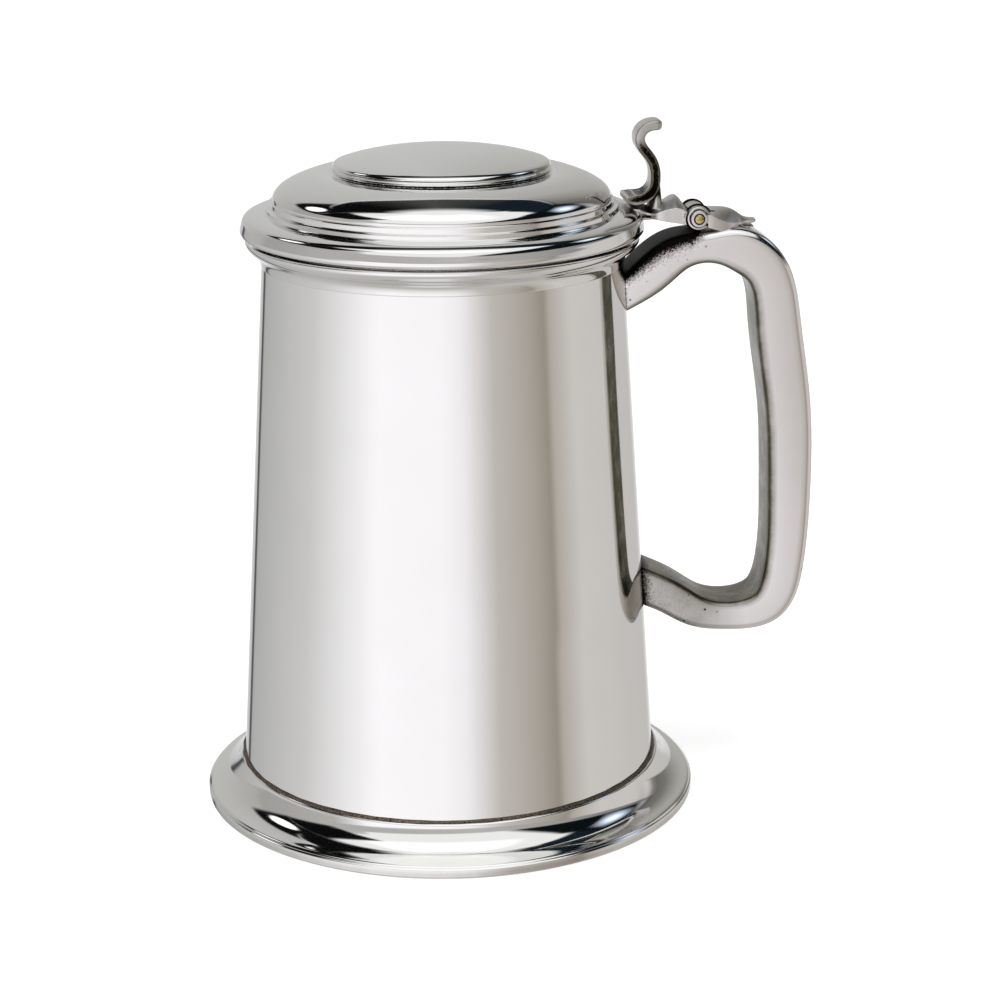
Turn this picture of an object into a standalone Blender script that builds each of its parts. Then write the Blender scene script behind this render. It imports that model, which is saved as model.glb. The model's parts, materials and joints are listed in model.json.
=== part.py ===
"""Lidded pewter tankard: tapered drum on a spreading foot, loop handle, domed lid on a brass pin.

Everything is drawn round the drum's axis with the handle towards +X and is hung from an
empty, which moves the model so that its origin lies at the bottom centre of the whole object.
The pieces of the lid hang from a second empty on the axis of the hinge pin.
"""

import math

import bmesh
import bpy
import numpy as np

# Sizes in metres.
GAP = 0.0003                    # room left between pieces that are soldered or seated together
ROUND_STEPS = 60                # facets round a turned piece, a multiple of four
BARREL_STEPS = 24               # facets round the pin, the knuckles and their bores

FOOT_RADIUS = 0.0529            # widest radius, at the bead of the foot
FOOT_HEIGHT = 0.0086            # from the table to the solder line on the drum
FOOT_BEAD_HEIGHT = 0.0020       # rounded bead at the table
FOOT_STAND_WIDTH = 0.0026       # flat ring that the tankard stands on
FOOT_WALL = 0.0018              # metal of the hollow foot
FOOT_COLLAR = 0.0006            # narrow upper edge of the foot round the drum

DRUM_BASE_RADIUS = 0.0445       # outside, at the solder line
DRUM_TOP_RADIUS = 0.0376        # outside, under the lip
DRUM_HEIGHT = 0.1071            # from the solder line to the lip
DRUM_WALL = 0.0013
DRUM_SINK = 0.0042              # length of drum inside the foot
BASE_THICKNESS = 0.0016         # floor of the drum

RIM_HEIGHT = 0.0040             # flared lip
RIM_FLARE = 0.0026              # how far the lip spreads beyond the drum

LID_OVERHANG = 0.0016           # flange beyond the lip
FLANGE_HEIGHT = 0.0065          # rolled flange of the lid
FLANGE_ROUND = 0.0040           # half width of the flange's roll
MOULDING_WIDTH = 0.0028         # stepped mouldings between flange and dome
MOULDING_HEIGHT = 0.0025
DOME_HEIGHT = 0.0079
DOME_FULLNESS = 2.05            # 2 is an ellipse, more is squarer
PLATE_RADIUS = 0.0226           # raised centre of the lid
PLATE_STEP = 0.0016
PLATE_CROWN = 0.0028
LID_WALL = 0.0016
BEZEL_WALL = 0.0012             # ring that centres the lid in the mouth
BEZEL_PLAY = 0.0007
BEZEL_DEPTH = 0.0030            # below the flange
BEZEL_SEAT = 0.0032             # inside the flange

HINGE_OFFSET = 0.0110           # pin axis beyond the flange
HINGE_RISE = 0.0039             # pin axis above the underside of the flange
PIN_RADIUS = 0.00095
PIN_PLAY = 0.0003               # radial, between pin and bores
PIN_PROUD = 0.00015             # riveted ends beyond the knuckles
KNUCKLE_RADIUS = 0.0025
KNUCKLE_FACE_RADIUS = 0.0016    # flat face round the pin's end, inside the bevel
KNUCKLE_BEVEL = 0.0009          # length of that bevel along the pin
HINGE_WIDTH = 0.0124            # over the outer faces of the knuckles
MIDDLE_KNUCKLE = 0.0058         # width of the lid's knuckle
HINGE_PLAY = 0.0003             # between turning faces

LUG_WIDTH = 0.0112
LUG_DROP = 0.0011               # underside of the lug below the pin axis
LUG_SIDE_HEIGHT = 0.0031        # upright side of the lug
LUG_RIDGE = 0.0042              # highest point of the lug above the pin axis
LUG_RIDGE_SHIFT = 0.0033        # distance of that point from the pin axis

BRACKET_LENGTH = 0.0126         # from the pin axis to the tip of the leaf
BRACKET_WIDTH = 0.0112
BRACKET_RISE = 0.0011           # ridge of the leaf above the pin axis
LEAF_TIP_WIDTH = 0.0028
LEAF_TIP_THICKNESS = 0.0009

HANDLE_WIDTH = 0.0130
HANDLE_HEIGHT = 0.0872          # from the top of the handle to its underside
HANDLE_GRIP = 0.0090            # thickness of the grip
HANDLE_ARM = 0.0062             # thickness of the arms
HANDLE_EDGE = 0.0014            # rounded edges
GRIP_OFFSET = 0.0205            # centre line of the grip beyond the pin axis

# Course of the handle from the upper to the lower end. Each station has its share of the way
# from the drum to the grip, its share of the height and its share of the grip's extra thickness.
HANDLE_COURSE_SHARES = (
    (0.00, 0.876, 0.33),
    (0.14, 0.932, 0.33),
    (0.31, 0.987, 0.10),
    (0.48, 1.000, 0.00),
    (0.67, 0.994, 0.75),
    (0.81, 0.946, 0.97),
    (0.90, 0.796, 1.00),
    (0.98, 0.564, 0.95),
    (1.00, 0.338, 0.80),
    (0.98, 0.141, 0.68),
    (0.87, 0.027, 0.62),
    (0.57, 0.000, 0.10),
    (0.35, 0.018, 0.33),
    (0.18, 0.061, 0.52),
    (0.00, 0.098, 0.60),
)

THUMB_HEIGHT = 0.0171           # from the underside of the toe to the tip of the curl
THUMB_LENGTH = 0.0080           # from the end of the toe to the end of the curl
THUMB_THICKNESS = 0.0018
THUMB_WIDTH = 0.0062            # at the stem and the curl
THUMB_TOE_WIDTH = 0.0112        # at the spread toe

# Course of the thumbpiece from the toe to the curl: share of its length, share of its height
# and share of the toe's extra width.
THUMB_COURSE_SHARES = (
    (0.00, 0.01, 1.00),
    (0.30, 0.00, 0.62),
    (0.56, 0.04, 0.25),
    (0.74, 0.15, 0.05),
    (0.79, 0.28, -0.10),
    (0.77, 0.41, -0.12),
    (0.66, 0.55, -0.08),
    (0.47, 0.68, -0.02),
    (0.37, 0.80, 0.00),
    (0.43, 0.92, 0.00),
    (0.62, 0.99, 0.00),
    (0.95, 1.00, 0.00),
)

# Places that follow from the sizes.
drum_top_z = FOOT_HEIGHT + DRUM_HEIGHT
drum_bottom_z = FOOT_HEIGHT - DRUM_SINK
drum_slope = (DRUM_TOP_RADIUS - DRUM_BASE_RADIUS) / DRUM_HEIGHT
rim_base_z = drum_top_z + GAP
rim_top_z = rim_base_z + RIM_HEIGHT
rim_radius = DRUM_TOP_RADIUS + RIM_FLARE
mouth_radius = DRUM_TOP_RADIUS - DRUM_WALL
flange_z = rim_top_z + GAP
flange_mid_z = flange_z + FLANGE_HEIGHT / 2
flange_top_z = flange_z + FLANGE_HEIGHT
lid_radius = rim_radius + LID_OVERHANG
flange_mid_radius = lid_radius - FLANGE_ROUND
dome_radius = flange_mid_radius - MOULDING_WIDTH
dome_z = flange_top_z + MOULDING_HEIGHT
bezel_radius = mouth_radius - BEZEL_PLAY
pin_x = lid_radius + HINGE_OFFSET
pin_z = flange_z + HINGE_RISE
bore_radius = PIN_RADIUS + PIN_PLAY
swing_radius = KNUCKLE_RADIUS + HINGE_PLAY
slot_half = MIDDLE_KNUCKLE / 2 + HINGE_PLAY
handle_top_z = pin_z - KNUCKLE_RADIUS - GAP
shelf_rise = flange_top_z - pin_z
grip_x = pin_x + GRIP_OFFSET


def drum_radius(z):
    """Outer radius of the drum's cone at a height."""
    return DRUM_BASE_RADIUS + drum_slope * (z - FOOT_HEIGHT)


def spline(points, steps):
    """Smooth curve through rows of numbers: a Catmull-Rom spline with a few steps per span."""
    rows = np.array(points, dtype=float)
    rows = np.vstack((2 * rows[0] - rows[1], rows, 2 * rows[-1] - rows[-2]))
    t = np.linspace(0.0, 1.0, steps, endpoint=False)[:, None]
    curve = []
    for i in range(1, len(rows) - 2):
        a, b, c, d = rows[i - 1:i + 3]
        curve.append(0.5 * (2 * b + (c - a) * t + (2 * a - 5 * b + 4 * c - d) * t ** 2
                            + (3 * b - a - 3 * c + d) * t ** 3))
    curve.append(rows[-2:-1])
    return np.vstack(curve)


def side_normals(path):
    """Unit normals of a path of x, z rows, on the left of its direction."""
    along = np.gradient(path, axis=0)
    along /= np.linalg.norm(along, axis=1)[:, None]
    return np.column_stack((-along[:, 1], along[:, 0]))


def metal(name, colour, roughness):
    """Principled metal of one colour."""
    material = bpy.data.materials.new(name)
    material.use_nodes = True
    shader = material.node_tree.nodes["Principled BSDF"]
    shader.inputs["Base Color"].default_value = (*colour, 1.0)
    shader.inputs["Metallic"].default_value = 1.0
    shader.inputs["Roughness"].default_value = roughness
    return material


def finish(name, bm, material=None, parent=None):
    """Object from a bmesh, with outward faces and smooth shading up to sharp corners."""
    bmesh.ops.remove_doubles(bm, verts=bm.verts, dist=1e-7)
    bmesh.ops.recalc_face_normals(bm, faces=bm.faces)
    mesh = bpy.data.meshes.new(name)
    bm.to_mesh(mesh)
    bm.free()
    mesh.shade_smooth()
    mesh.set_sharp_from_angle(angle=math.radians(32))
    obj = bpy.data.objects.new(name, mesh)
    bpy.context.collection.objects.link(obj)
    if material is None:
        obj.hide_render = True
        obj.display_type = "WIRE"
    else:
        mesh.materials.append(material)
    if parent is not None:
        obj.parent = parent
    return obj


def turned(profile, axis=(0, 0, 1), centre=(0, 0, 0), steps=ROUND_STEPS, closed=True):
    """Spin an outline of radius and height rows round an axis through a centre."""
    bm = bmesh.new()
    across = (1, 0, 0) if axis[2] else (0, 0, 1)
    verts = [bm.verts.new([centre[k] + r * across[k] + h * axis[k] for k in range(3)])
             for r, h in profile]
    pairs = list(zip(verts, verts[1:]))
    if closed:
        pairs.append((verts[-1], verts[0]))
    edges = [bm.edges.new(pair) for pair in pairs]
    bmesh.ops.spin(bm, geom=verts + edges, cent=centre, axis=axis,
                   angle=2 * math.pi, steps=steps, use_merge=True)
    bmesh.ops.remove_doubles(bm, verts=bm.verts, dist=1e-7)
    return bm


def lofted(rings):
    """Skin rings of equal length. Each ring is a row of upper points and a row of lower points
    that run the same way, so the ends close in strips from the upper to the lower row."""
    bm = bmesh.new()
    grid = [[bm.verts.new(p) for p in ring] for ring in rings]
    count = len(grid[0])
    half = count // 2
    for ring, following in zip(grid, grid[1:]):
        for k in range(count):
            n = (k + 1) % count
            bm.faces.new((ring[k], ring[n], following[n], following[k]))
    for ring in (grid[0], grid[-1]):
        for k in range(half - 1):
            bm.faces.new((ring[k], ring[k + 1], ring[count - 2 - k], ring[count - 1 - k]))
    return bm


def combine(obj, other, operation):
    """Add a Boolean modifier that uses a hidden guide object."""
    other.parent = obj.parent
    modifier = obj.modifiers.new(other.name, "BOOLEAN")
    modifier.operation = operation
    modifier.object = other
    modifier.solver = "EXACT"


def barrel(profile, centre):
    """Spin an outline round a line along Y, and close its two ends with flat faces."""
    bm = turned(profile, (0, 1, 0), centre, BARREL_STEPS, closed=False)
    bmesh.ops.holes_fill(bm, edges=bm.edges)
    return bm


def rod(radius, y_from, y_to, centre):
    """Plain cylinder along Y."""
    return barrel([(radius, y_from), (radius, y_to)], centre)


for old in list(bpy.data.objects):
    bpy.data.objects.remove(old, do_unlink=True)

body_metal = (0.60, 0.59, 0.57)
cast_metal = (0.48, 0.46, 0.43)

# Course of the handle, worked out first because the origin depends on its reach.
course = np.array(HANDLE_COURSE_SHARES)
upper_z = handle_top_z - HANDLE_ARM / 2
lower_z = handle_top_z - HANDLE_HEIGHT + HANDLE_ARM / 2
station_z = lower_z + course[:, 1] * (upper_z - lower_z)
station_x = drum_radius(station_z) + course[:, 0] * (grip_x - drum_radius(station_z))
station_t = HANDLE_ARM + course[:, 2] * (HANDLE_GRIP - HANDLE_ARM)
handle_path = spline(np.column_stack((station_x, station_z, station_t)), 3)
handle_normal = side_normals(handle_path[:, :2])
handle_outer = handle_path[:, :2] + handle_normal * handle_path[:, 2:] / 2
handle_reach = handle_outer[:, 0].max()

root = bpy.data.objects.new("tankard_origin", None)
root.location = ((FOOT_RADIUS - handle_reach) / 2, 0, 0)
bpy.context.collection.objects.link(root)
hinge = bpy.data.objects.new("hinge_axis", None)
hinge.parent = root
hinge.location = (pin_x, 0, pin_z)
bpy.context.collection.objects.link(hinge)

# Foot: a hollow spreading ring. Below the collar at the solder line a cove sweeps out to a bead.
bead_mid = FOOT_BEAD_HEIGHT / 2
shoulder = FOOT_RADIUS - 0.3 * bead_mid
collar = drum_radius(FOOT_HEIGHT) + GAP + FOOT_COLLAR
slope = shoulder - collar
fall = FOOT_HEIGHT - FOOT_BEAD_HEIGHT


def cove(share):
    """Height of the foot's upper face at a share of the way from the collar to the bead: it drops
    steeply, hollows to a nearly flat sweep and rolls over at the bead."""
    hollow = 0.83 * (1 - math.exp(-share / 0.22))
    return FOOT_HEIGHT - fall * (0.06 + hollow + 0.04 * share + 0.07 * share ** 10)


outline = [(drum_radius(FOOT_HEIGHT) + GAP, FOOT_HEIGHT)]
outline += [(collar + slope * share, cove(share))
            for share in (0.0, 0.06, 0.13, 0.22, 0.34, 0.52, 0.74, 0.90, 1.0)]
stand_radius = FOOT_RADIUS - 0.7 * bead_mid
outline += [
    (FOOT_RADIUS, bead_mid * 1.3),
    (FOOT_RADIUS, bead_mid * 0.7),
    (stand_radius, 0.0),
    (stand_radius - FOOT_STAND_WIDTH, 0.0),
    (stand_radius - FOOT_STAND_WIDTH, FOOT_BEAD_HEIGHT),
    (collar + 0.30 * slope, min(cove(0.30) - FOOT_WALL, drum_bottom_z)),
    (drum_radius(drum_bottom_z) + GAP, drum_bottom_z),
]
finish("foot_ring", turned(outline), metal("foot_pewter", body_metal, 0.16), root)

# Drum: a plain conical wall from inside the foot up to the lip.
outline = [
    (drum_radius(drum_top_z), drum_top_z),
    (drum_radius(drum_bottom_z), drum_bottom_z),
    (drum_radius(drum_bottom_z) - DRUM_WALL, drum_bottom_z),
    (drum_radius(drum_top_z) - DRUM_WALL, drum_top_z),
]
finish("drum", turned(outline), metal("drum_pewter", body_metal, 0.14), root)

# Floor: a disc let into the lower end of the drum.
floor_z = drum_bottom_z + BASE_THICKNESS
outline = [
    (0.0, floor_z),
    (drum_radius(floor_z) - DRUM_WALL - GAP, floor_z),
    (drum_radius(drum_bottom_z) - DRUM_WALL - GAP, drum_bottom_z),
    (0.0, drum_bottom_z),
]
finish("base_disc", turned(outline, closed=False), metal("base_pewter", body_metal, 0.3), root)

# Lip: a small band, then a hollow flare up to the flat edge under the lid.
outline = [(rim_radius, rim_top_z)]
for share in (0.06, 0.22, 0.42, 0.66, 0.88):
    outline.append((DRUM_TOP_RADIUS + RIM_FLARE * (0.06 + 0.9 * (1 - share) ** 2.0),
                    rim_top_z - RIM_HEIGHT * share))
outline += [(DRUM_TOP_RADIUS, rim_base_z), (mouth_radius, rim_base_z), (mouth_radius, rim_top_z)]
finish("rim_band", turned(outline), metal("rim_pewter", body_metal, 0.14), root)

# Handle: a loop of rounded rectangular section whose ends are hollowed to the drum.
edge = HANDLE_EDGE
columns = [(0.5 * HANDLE_WIDTH, edge), (0.5 * HANDLE_WIDTH - 0.3 * edge, 0.3 * edge),
           (0.5 * HANDLE_WIDTH - edge, 0.0), (0.2 * HANDLE_WIDTH, 0.0)]
columns = [(-y, d) for y, d in columns] + [(0.0, 0.0)] + columns[::-1]
rings = []
for (x, z, t), (nx, nz) in zip(handle_path, handle_normal):
    upper = [(x + nx * (t / 2 - d), y, z + nz * (t / 2 - d)) for y, d in columns]
    lower = [(x - nx * (t / 2 - d), y, z - nz * (t / 2 - d)) for y, d in columns]
    rings.append(upper + lower[::-1])
for k, ring in enumerate(rings):
    seats = [math.sqrt((drum_radius(z) + GAP) ** 2 - y ** 2) for x, y, z in ring]
    at_end = k in (0, len(rings) - 1)
    rings[k] = [(seat if at_end else max(x, seat), y, z) for seat, (x, y, z) in zip(seats, ring)]
finish("handle", lofted(rings), metal("handle_pewter", body_metal, 0.2), root)


def handle_top(x):
    """Height of the handle's upper face at a distance from the drum's axis."""
    upper = handle_outer[handle_outer[:, 1] > handle_top_z - 2 * HANDLE_ARM]
    order = np.argsort(upper[:, 0])
    return float(np.interp(x, upper[order, 0], upper[order, 1]))


def leaf_ring(x, half_width, low, side, ridge):
    """Section of a cast leaf: upright sides and a roof with a flat ridge."""
    flat = 0.25 * half_width
    upper = [(x, -half_width, side), (x, -flat, ridge), (x, flat, ridge), (x, half_width, side)]
    lower = [(x, y, low) for _, y, _ in upper]
    return upper + lower[::-1]


# Bracket: a leaf on the handle that ends in a barrel. A slot for the lid's knuckle leaves a
# knuckle on either side of it.
half = BRACKET_WIDTH / 2
root_x = pin_x + 0.3 * KNUCKLE_RADIUS
neck_x = pin_x + 1.15 * swing_radius
tip_x = pin_x + BRACKET_LENGTH
tip_z = max(handle_top(tip_x), handle_top_z) + 3 * GAP
crest = pin_z + BRACKET_RISE
heel_x = pin_x + 0.55 * BRACKET_LENGTH
waist_x = pin_x + 0.78 * BRACKET_LENGTH
rings = [
    leaf_ring(root_x, half, pin_z - 0.8 * KNUCKLE_RADIUS, pin_z + 0.4 * BRACKET_RISE, crest),
    leaf_ring(neck_x, half, handle_top(neck_x) + GAP, pin_z, crest),
    leaf_ring(heel_x, 0.8 * half, handle_top(heel_x) + GAP, pin_z - BRACKET_RISE, crest),
    leaf_ring(waist_x, 0.5 * half, handle_top(waist_x) + 2 * GAP, pin_z - BRACKET_RISE,
              pin_z - 0.2 * BRACKET_RISE),
    leaf_ring(tip_x, LEAF_TIP_WIDTH / 2, tip_z, tip_z + 0.6 * LEAF_TIP_THICKNESS,
              tip_z + LEAF_TIP_THICKNESS),
]
bracket = finish("hinge_bracket", lofted(rings), metal("bracket_pewter", cast_metal, 0.3), root)
pin_centre = (pin_x, 0, pin_z)
outer_face = HINGE_WIDTH / 2
bevel_y = outer_face - KNUCKLE_BEVEL
outline = [
    (KNUCKLE_FACE_RADIUS, -outer_face),
    (KNUCKLE_RADIUS, -bevel_y),
    (KNUCKLE_RADIUS, bevel_y),
    (KNUCKLE_FACE_RADIUS, outer_face),
]
combine(bracket, finish("bracket_barrel", barrel(outline, pin_centre)), "UNION")
combine(bracket, finish("slot_cutter", rod(swing_radius, -slot_half, slot_half, pin_centre)),
        "DIFFERENCE")
combine(bracket, finish("bracket_bore", rod(bore_radius, -HINGE_WIDTH, HINGE_WIDTH, pin_centre)),
        "DIFFERENCE")

# Pin: brass, riveted flush in the outer knuckles.
finish("hinge_pin", rod(PIN_RADIUS, -outer_face - PIN_PROUD, outer_face + PIN_PROUD, pin_centre),
       metal("pin_brass", (0.72, 0.55, 0.25), 0.3), root)


def dome_rise(radius, base_z, r):
    """Height of the dome at a distance from the axis: a slightly full ellipse."""
    share = max(0.0, 1 - (r / radius) ** DOME_FULLNESS)
    return base_z + DOME_HEIGHT * share ** (1 / DOME_FULLNESS)


# Lid: raised centre, dome, two small steps and a rolled flange, all in one turned shell. The
# outline runs from the top of the axis down the outside, and back up inside to the axis.
# Everything on the lid is drawn from the pin axis.
groove_radius = PLATE_RADIUS + 0.3 * PLATE_STEP
groove_z = dome_rise(dome_radius, dome_z, groove_radius) - 0.1 * PLATE_STEP
plate_z = groove_z + PLATE_STEP
flat_radius = PLATE_RADIUS - 0.7 * PLATE_STEP
outline = []
for share in (0.0, 0.34, 0.67, 1.0):
    outline.append((flat_radius * share, plate_z + PLATE_CROWN * (1 - share ** 2)))
outline += [
    (PLATE_RADIUS - 0.2 * PLATE_STEP, plate_z - 0.22 * PLATE_STEP),
    (PLATE_RADIUS, plate_z - 0.6 * PLATE_STEP),
    (groove_radius, groove_z),
]
for share in (0.12, 0.38, 0.62, 0.82, 0.95, 1.0):
    r = groove_radius + share * (dome_radius - groove_radius)
    outline.append((r, dome_rise(dome_radius, dome_z, r)))
outline += [
    (dome_radius + 0.15 * MOULDING_WIDTH, dome_z - 0.1 * MOULDING_HEIGHT),
    (dome_radius + 0.15 * MOULDING_WIDTH, dome_z - 0.5 * MOULDING_HEIGHT),
    (dome_radius + 0.42 * MOULDING_WIDTH, dome_z - 0.6 * MOULDING_HEIGHT),
    (dome_radius + 0.50 * MOULDING_WIDTH, flange_top_z + 0.08 * MOULDING_HEIGHT),
]
for degrees in (90, 60, 36, 12, -12, -36, -60):
    turn = math.radians(degrees)
    outline.append((flange_mid_radius + FLANGE_ROUND * math.cos(turn),
                    flange_mid_z + FLANGE_HEIGHT / 2 * math.sin(turn)))
inner_radius = dome_radius - LID_WALL
inner_z = dome_z - LID_WALL
inner_plate = PLATE_RADIUS - LID_WALL
seat_z = flange_z + BEZEL_SEAT + GAP
outline += [
    (flange_mid_radius + 0.35 * FLANGE_ROUND, flange_z),
    (bezel_radius + GAP, flange_z),
    (bezel_radius + GAP, seat_z),
    (inner_radius, seat_z),
]
for share in (0.0, 0.22, 0.6, 1.0):
    r = inner_radius - share * (inner_radius - inner_plate)
    outline.append((r, dome_rise(inner_radius, inner_z, r)))
outline.append((0.0, dome_rise(inner_radius, inner_z, inner_plate) + PLATE_CROWN))
lid_centre = (-pin_x, 0, -pin_z)
finish("lid_shell", turned(outline, centre=lid_centre, closed=False),
       metal("lid_pewter", body_metal, 0.14), hinge)

# Bezel: a plain ring seated inside the flange, which reaches into the mouth.
outline = [
    (bezel_radius, flange_z + BEZEL_SEAT),
    (bezel_radius, flange_z - BEZEL_DEPTH),
    (bezel_radius - BEZEL_WALL, flange_z - BEZEL_DEPTH),
    (bezel_radius - BEZEL_WALL, flange_z + BEZEL_SEAT),
]
finish("lid_bezel", turned(outline, centre=lid_centre), metal("bezel_pewter", body_metal, 0.2),
       hinge)


# Lug: a cast arm from the flange to the pin. Its low part carries the thumbpiece, its ridge
# stands near the hinge, and its end is hollowed beside its own knuckle, so that it swings clear
# of the bracket's knuckles.
half = LUG_WIDTH / 2
low = -LUG_DROP
shelf_x = -0.74 * HINGE_OFFSET
rings = [
    leaf_ring(-HINGE_OFFSET - 0.4 * FLANGE_ROUND, 0.8 * half, low + 0.3 * LUG_SIDE_HEIGHT,
              0.4 * shelf_rise, 0.7 * shelf_rise),
    leaf_ring(shelf_x, 0.9 * half, low + 0.25 * LUG_SIDE_HEIGHT, 0.6 * shelf_rise, shelf_rise),
    leaf_ring(-LUG_RIDGE_SHIFT - 0.3 * (HINGE_OFFSET - LUG_RIDGE_SHIFT), half,
              low + 0.1 * LUG_SIDE_HEIGHT, low + LUG_SIDE_HEIGHT,
              0.75 * LUG_RIDGE + 0.25 * shelf_rise),
    leaf_ring(-LUG_RIDGE_SHIFT, half, low, low + LUG_SIDE_HEIGHT, LUG_RIDGE),
    leaf_ring(-0.55 * swing_radius, half, low, 0.3 * LUG_RIDGE, 0.42 * LUG_RIDGE),
]
lug = finish("lid_lug", lofted(rings), metal("lug_pewter", cast_metal, 0.3), hinge)
origin = (0, 0, 0)
roll = []
for degrees in range(0, 360, 24):
    turn = math.radians(degrees)
    roll.append((flange_mid_radius + (FLANGE_ROUND + GAP) * math.cos(turn),
                 flange_mid_z + (FLANGE_HEIGHT / 2 + GAP) * math.sin(turn)))
combine(lug, finish("flange_cutter", turned(roll, centre=lid_centre)), "DIFFERENCE")
middle = MIDDLE_KNUCKLE / 2
combine(lug, finish("lug_barrel", rod(KNUCKLE_RADIUS, -0.9 * half, 0.9 * half, origin)), "UNION")
combine(lug, finish("near_swing", rod(swing_radius, -HINGE_WIDTH, -middle, origin)), "DIFFERENCE")
combine(lug, finish("far_swing", rod(swing_radius, middle, HINGE_WIDTH, origin)), "DIFFERENCE")
combine(lug, finish("lug_bore", rod(bore_radius, -HINGE_WIDTH, HINGE_WIDTH, origin)),
        "DIFFERENCE")

# Thumbpiece: a cast strip whose spread toe lies on the flange, with an S-shaped stem and a curl.
toe_x = flange_mid_radius - pin_x
toe_z = shelf_rise + GAP
course = np.array(THUMB_COURSE_SHARES)
inset = THUMB_THICKNESS / 2
path = np.column_stack((
    toe_x + course[:, 0] * THUMB_LENGTH,
    toe_z + inset + course[:, 1] * (THUMB_HEIGHT - 2 * inset),
    THUMB_WIDTH + course[:, 2] * (THUMB_TOE_WIDTH - THUMB_WIDTH),
))
path = spline(path, 3)
normals = side_normals(path[:, :2])
rings = []
for (x, z, width), (nx, nz) in zip(path, normals):
    shares = ((-0.5, 0.6), (-0.42, 0.95), (0.0, 1.0), (0.42, 0.95), (0.5, 0.6))
    upper = [(x + nx * inset * d, width * s, z + nz * inset * d) for s, d in shares]
    lower = [(x - nx * inset * d, width * s, z - nz * inset * d) for s, d in shares]
    rings.append(upper + lower[::-1])
finish("thumbpiece", lofted(rings), metal("thumbpiece_pewter", cast_metal, 0.25), hinge)
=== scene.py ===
"""Looks of the lidded pewter tankard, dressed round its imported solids.

Sizes are millimetres, with radii measured from the drum's axis and heights from the table, and
are turned to metres when a mesh is made. The handle points along +X, the hinge pin lies along Y.
"""

import json

import bpy
import numpy as np
from mathutils import Matrix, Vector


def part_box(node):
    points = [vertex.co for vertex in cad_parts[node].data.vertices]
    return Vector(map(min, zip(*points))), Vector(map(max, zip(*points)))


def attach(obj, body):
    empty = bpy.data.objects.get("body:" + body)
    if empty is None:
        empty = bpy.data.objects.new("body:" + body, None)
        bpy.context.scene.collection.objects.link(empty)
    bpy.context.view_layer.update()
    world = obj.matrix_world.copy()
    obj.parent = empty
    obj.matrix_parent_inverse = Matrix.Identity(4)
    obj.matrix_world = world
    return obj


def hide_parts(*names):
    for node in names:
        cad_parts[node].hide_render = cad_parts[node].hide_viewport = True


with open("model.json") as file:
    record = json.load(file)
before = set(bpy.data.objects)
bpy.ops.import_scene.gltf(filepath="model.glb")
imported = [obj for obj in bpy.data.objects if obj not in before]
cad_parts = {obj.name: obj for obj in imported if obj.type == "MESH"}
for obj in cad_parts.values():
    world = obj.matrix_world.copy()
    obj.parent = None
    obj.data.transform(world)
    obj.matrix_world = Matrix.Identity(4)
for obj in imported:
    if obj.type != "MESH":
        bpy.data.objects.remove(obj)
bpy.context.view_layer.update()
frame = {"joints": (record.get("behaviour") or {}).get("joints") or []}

# Drum: the tapered wall, raised from pewter sheet and soldered into the foot. It is polished to a
# mirror by hand, so its reflections run straight up and down and stains stay only at the solder.
MM = 0.001
AXIS_X = sum(corner.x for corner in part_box("drum")) / 2 / MM
DRUM_BOTTOM_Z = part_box("drum")[0].z / MM
DRUM_TOP_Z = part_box("drum")[1].z / MM
SEAM_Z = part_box("foot_ring")[1].z / MM
DRUM_SEAM_RADIUS = 44.5
DRUM_TOP_RADIUS = 37.6
DRUM_WALL = 1.3
COLUMNS = 288
CORNER_POINTS = 9
ON_AXIS = 1e-6


def drum_radius(z):
    """Outer radius of the drum: a straight line from the solder seam to the lip."""
    slope = (DRUM_TOP_RADIUS - DRUM_SEAM_RADIUS) / (DRUM_TOP_Z - SEAM_Z)
    return DRUM_SEAM_RADIUS + slope * (z - SEAM_Z)


def outline(rows, step=1.2):
    """Fine outline from corner rows of radius, height and cut. Each corner is cut back by its
    third value and rounded by a parabola from cut to cut; longer stretches are divided by the
    step, and points that coincide are dropped."""
    rows = np.array(rows, float)
    corner = rows[:, :2]
    before = np.vstack((corner[:1], corner[:-1])) - corner
    after = np.vstack((corner[1:], corner[-1:])) - corner
    before /= np.maximum(np.linalg.norm(before, axis=1), 1e-9)[:, None]
    after /= np.maximum(np.linalg.norm(after, axis=1), 1e-9)[:, None]
    t = np.linspace(0.0, 1.0, CORNER_POINTS)[None, :, None]
    start = (corner + before * rows[:, 2:])[:, None]
    end = (corner + after * rows[:, 2:])[:, None]
    points = start * (1 - t) ** 2 + 2 * corner[:, None] * t * (1 - t) + end * t ** 2
    points = points.reshape(-1, 2)
    length = np.concatenate(([0.0], np.cumsum(np.linalg.norm(np.diff(points, axis=0), axis=1))))
    fresh = np.concatenate(([True], np.diff(length) > 1e-5))
    points, length = points[fresh], length[fresh]
    places = np.union1d(length, np.arange(0.0, length[-1], step))
    places = places[np.concatenate(([True], np.diff(places) > 1e-4))]
    return np.column_stack([np.interp(places, length, points[:, k]) for k in (0, 1)])


def make(name, points, faces, material, sharp=35):
    """Object from points in millimetres and lists of faces. It is shaded smooth, except at corners
    of more than sharp degrees."""
    mesh = bpy.data.meshes.new(name)
    mesh.from_pydata(np.asarray(points) * MM, [], faces)
    mesh.validate()
    mesh.shade_smooth()
    mesh.set_sharp_from_angle(angle=np.radians(sharp))
    mesh.materials.append(material)
    piece = bpy.data.objects.new(name, mesh)
    bpy.context.collection.objects.link(piece)
    return piece


def paint(piece, layer, values):
    """Keep one number for each point of a piece, for its material to read."""
    attribute = piece.data.attributes.new(layer, "FLOAT", "POINT")
    attribute.data.foreach_set("value", np.ascontiguousarray(values, dtype=np.float32).reshape(-1))


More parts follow.
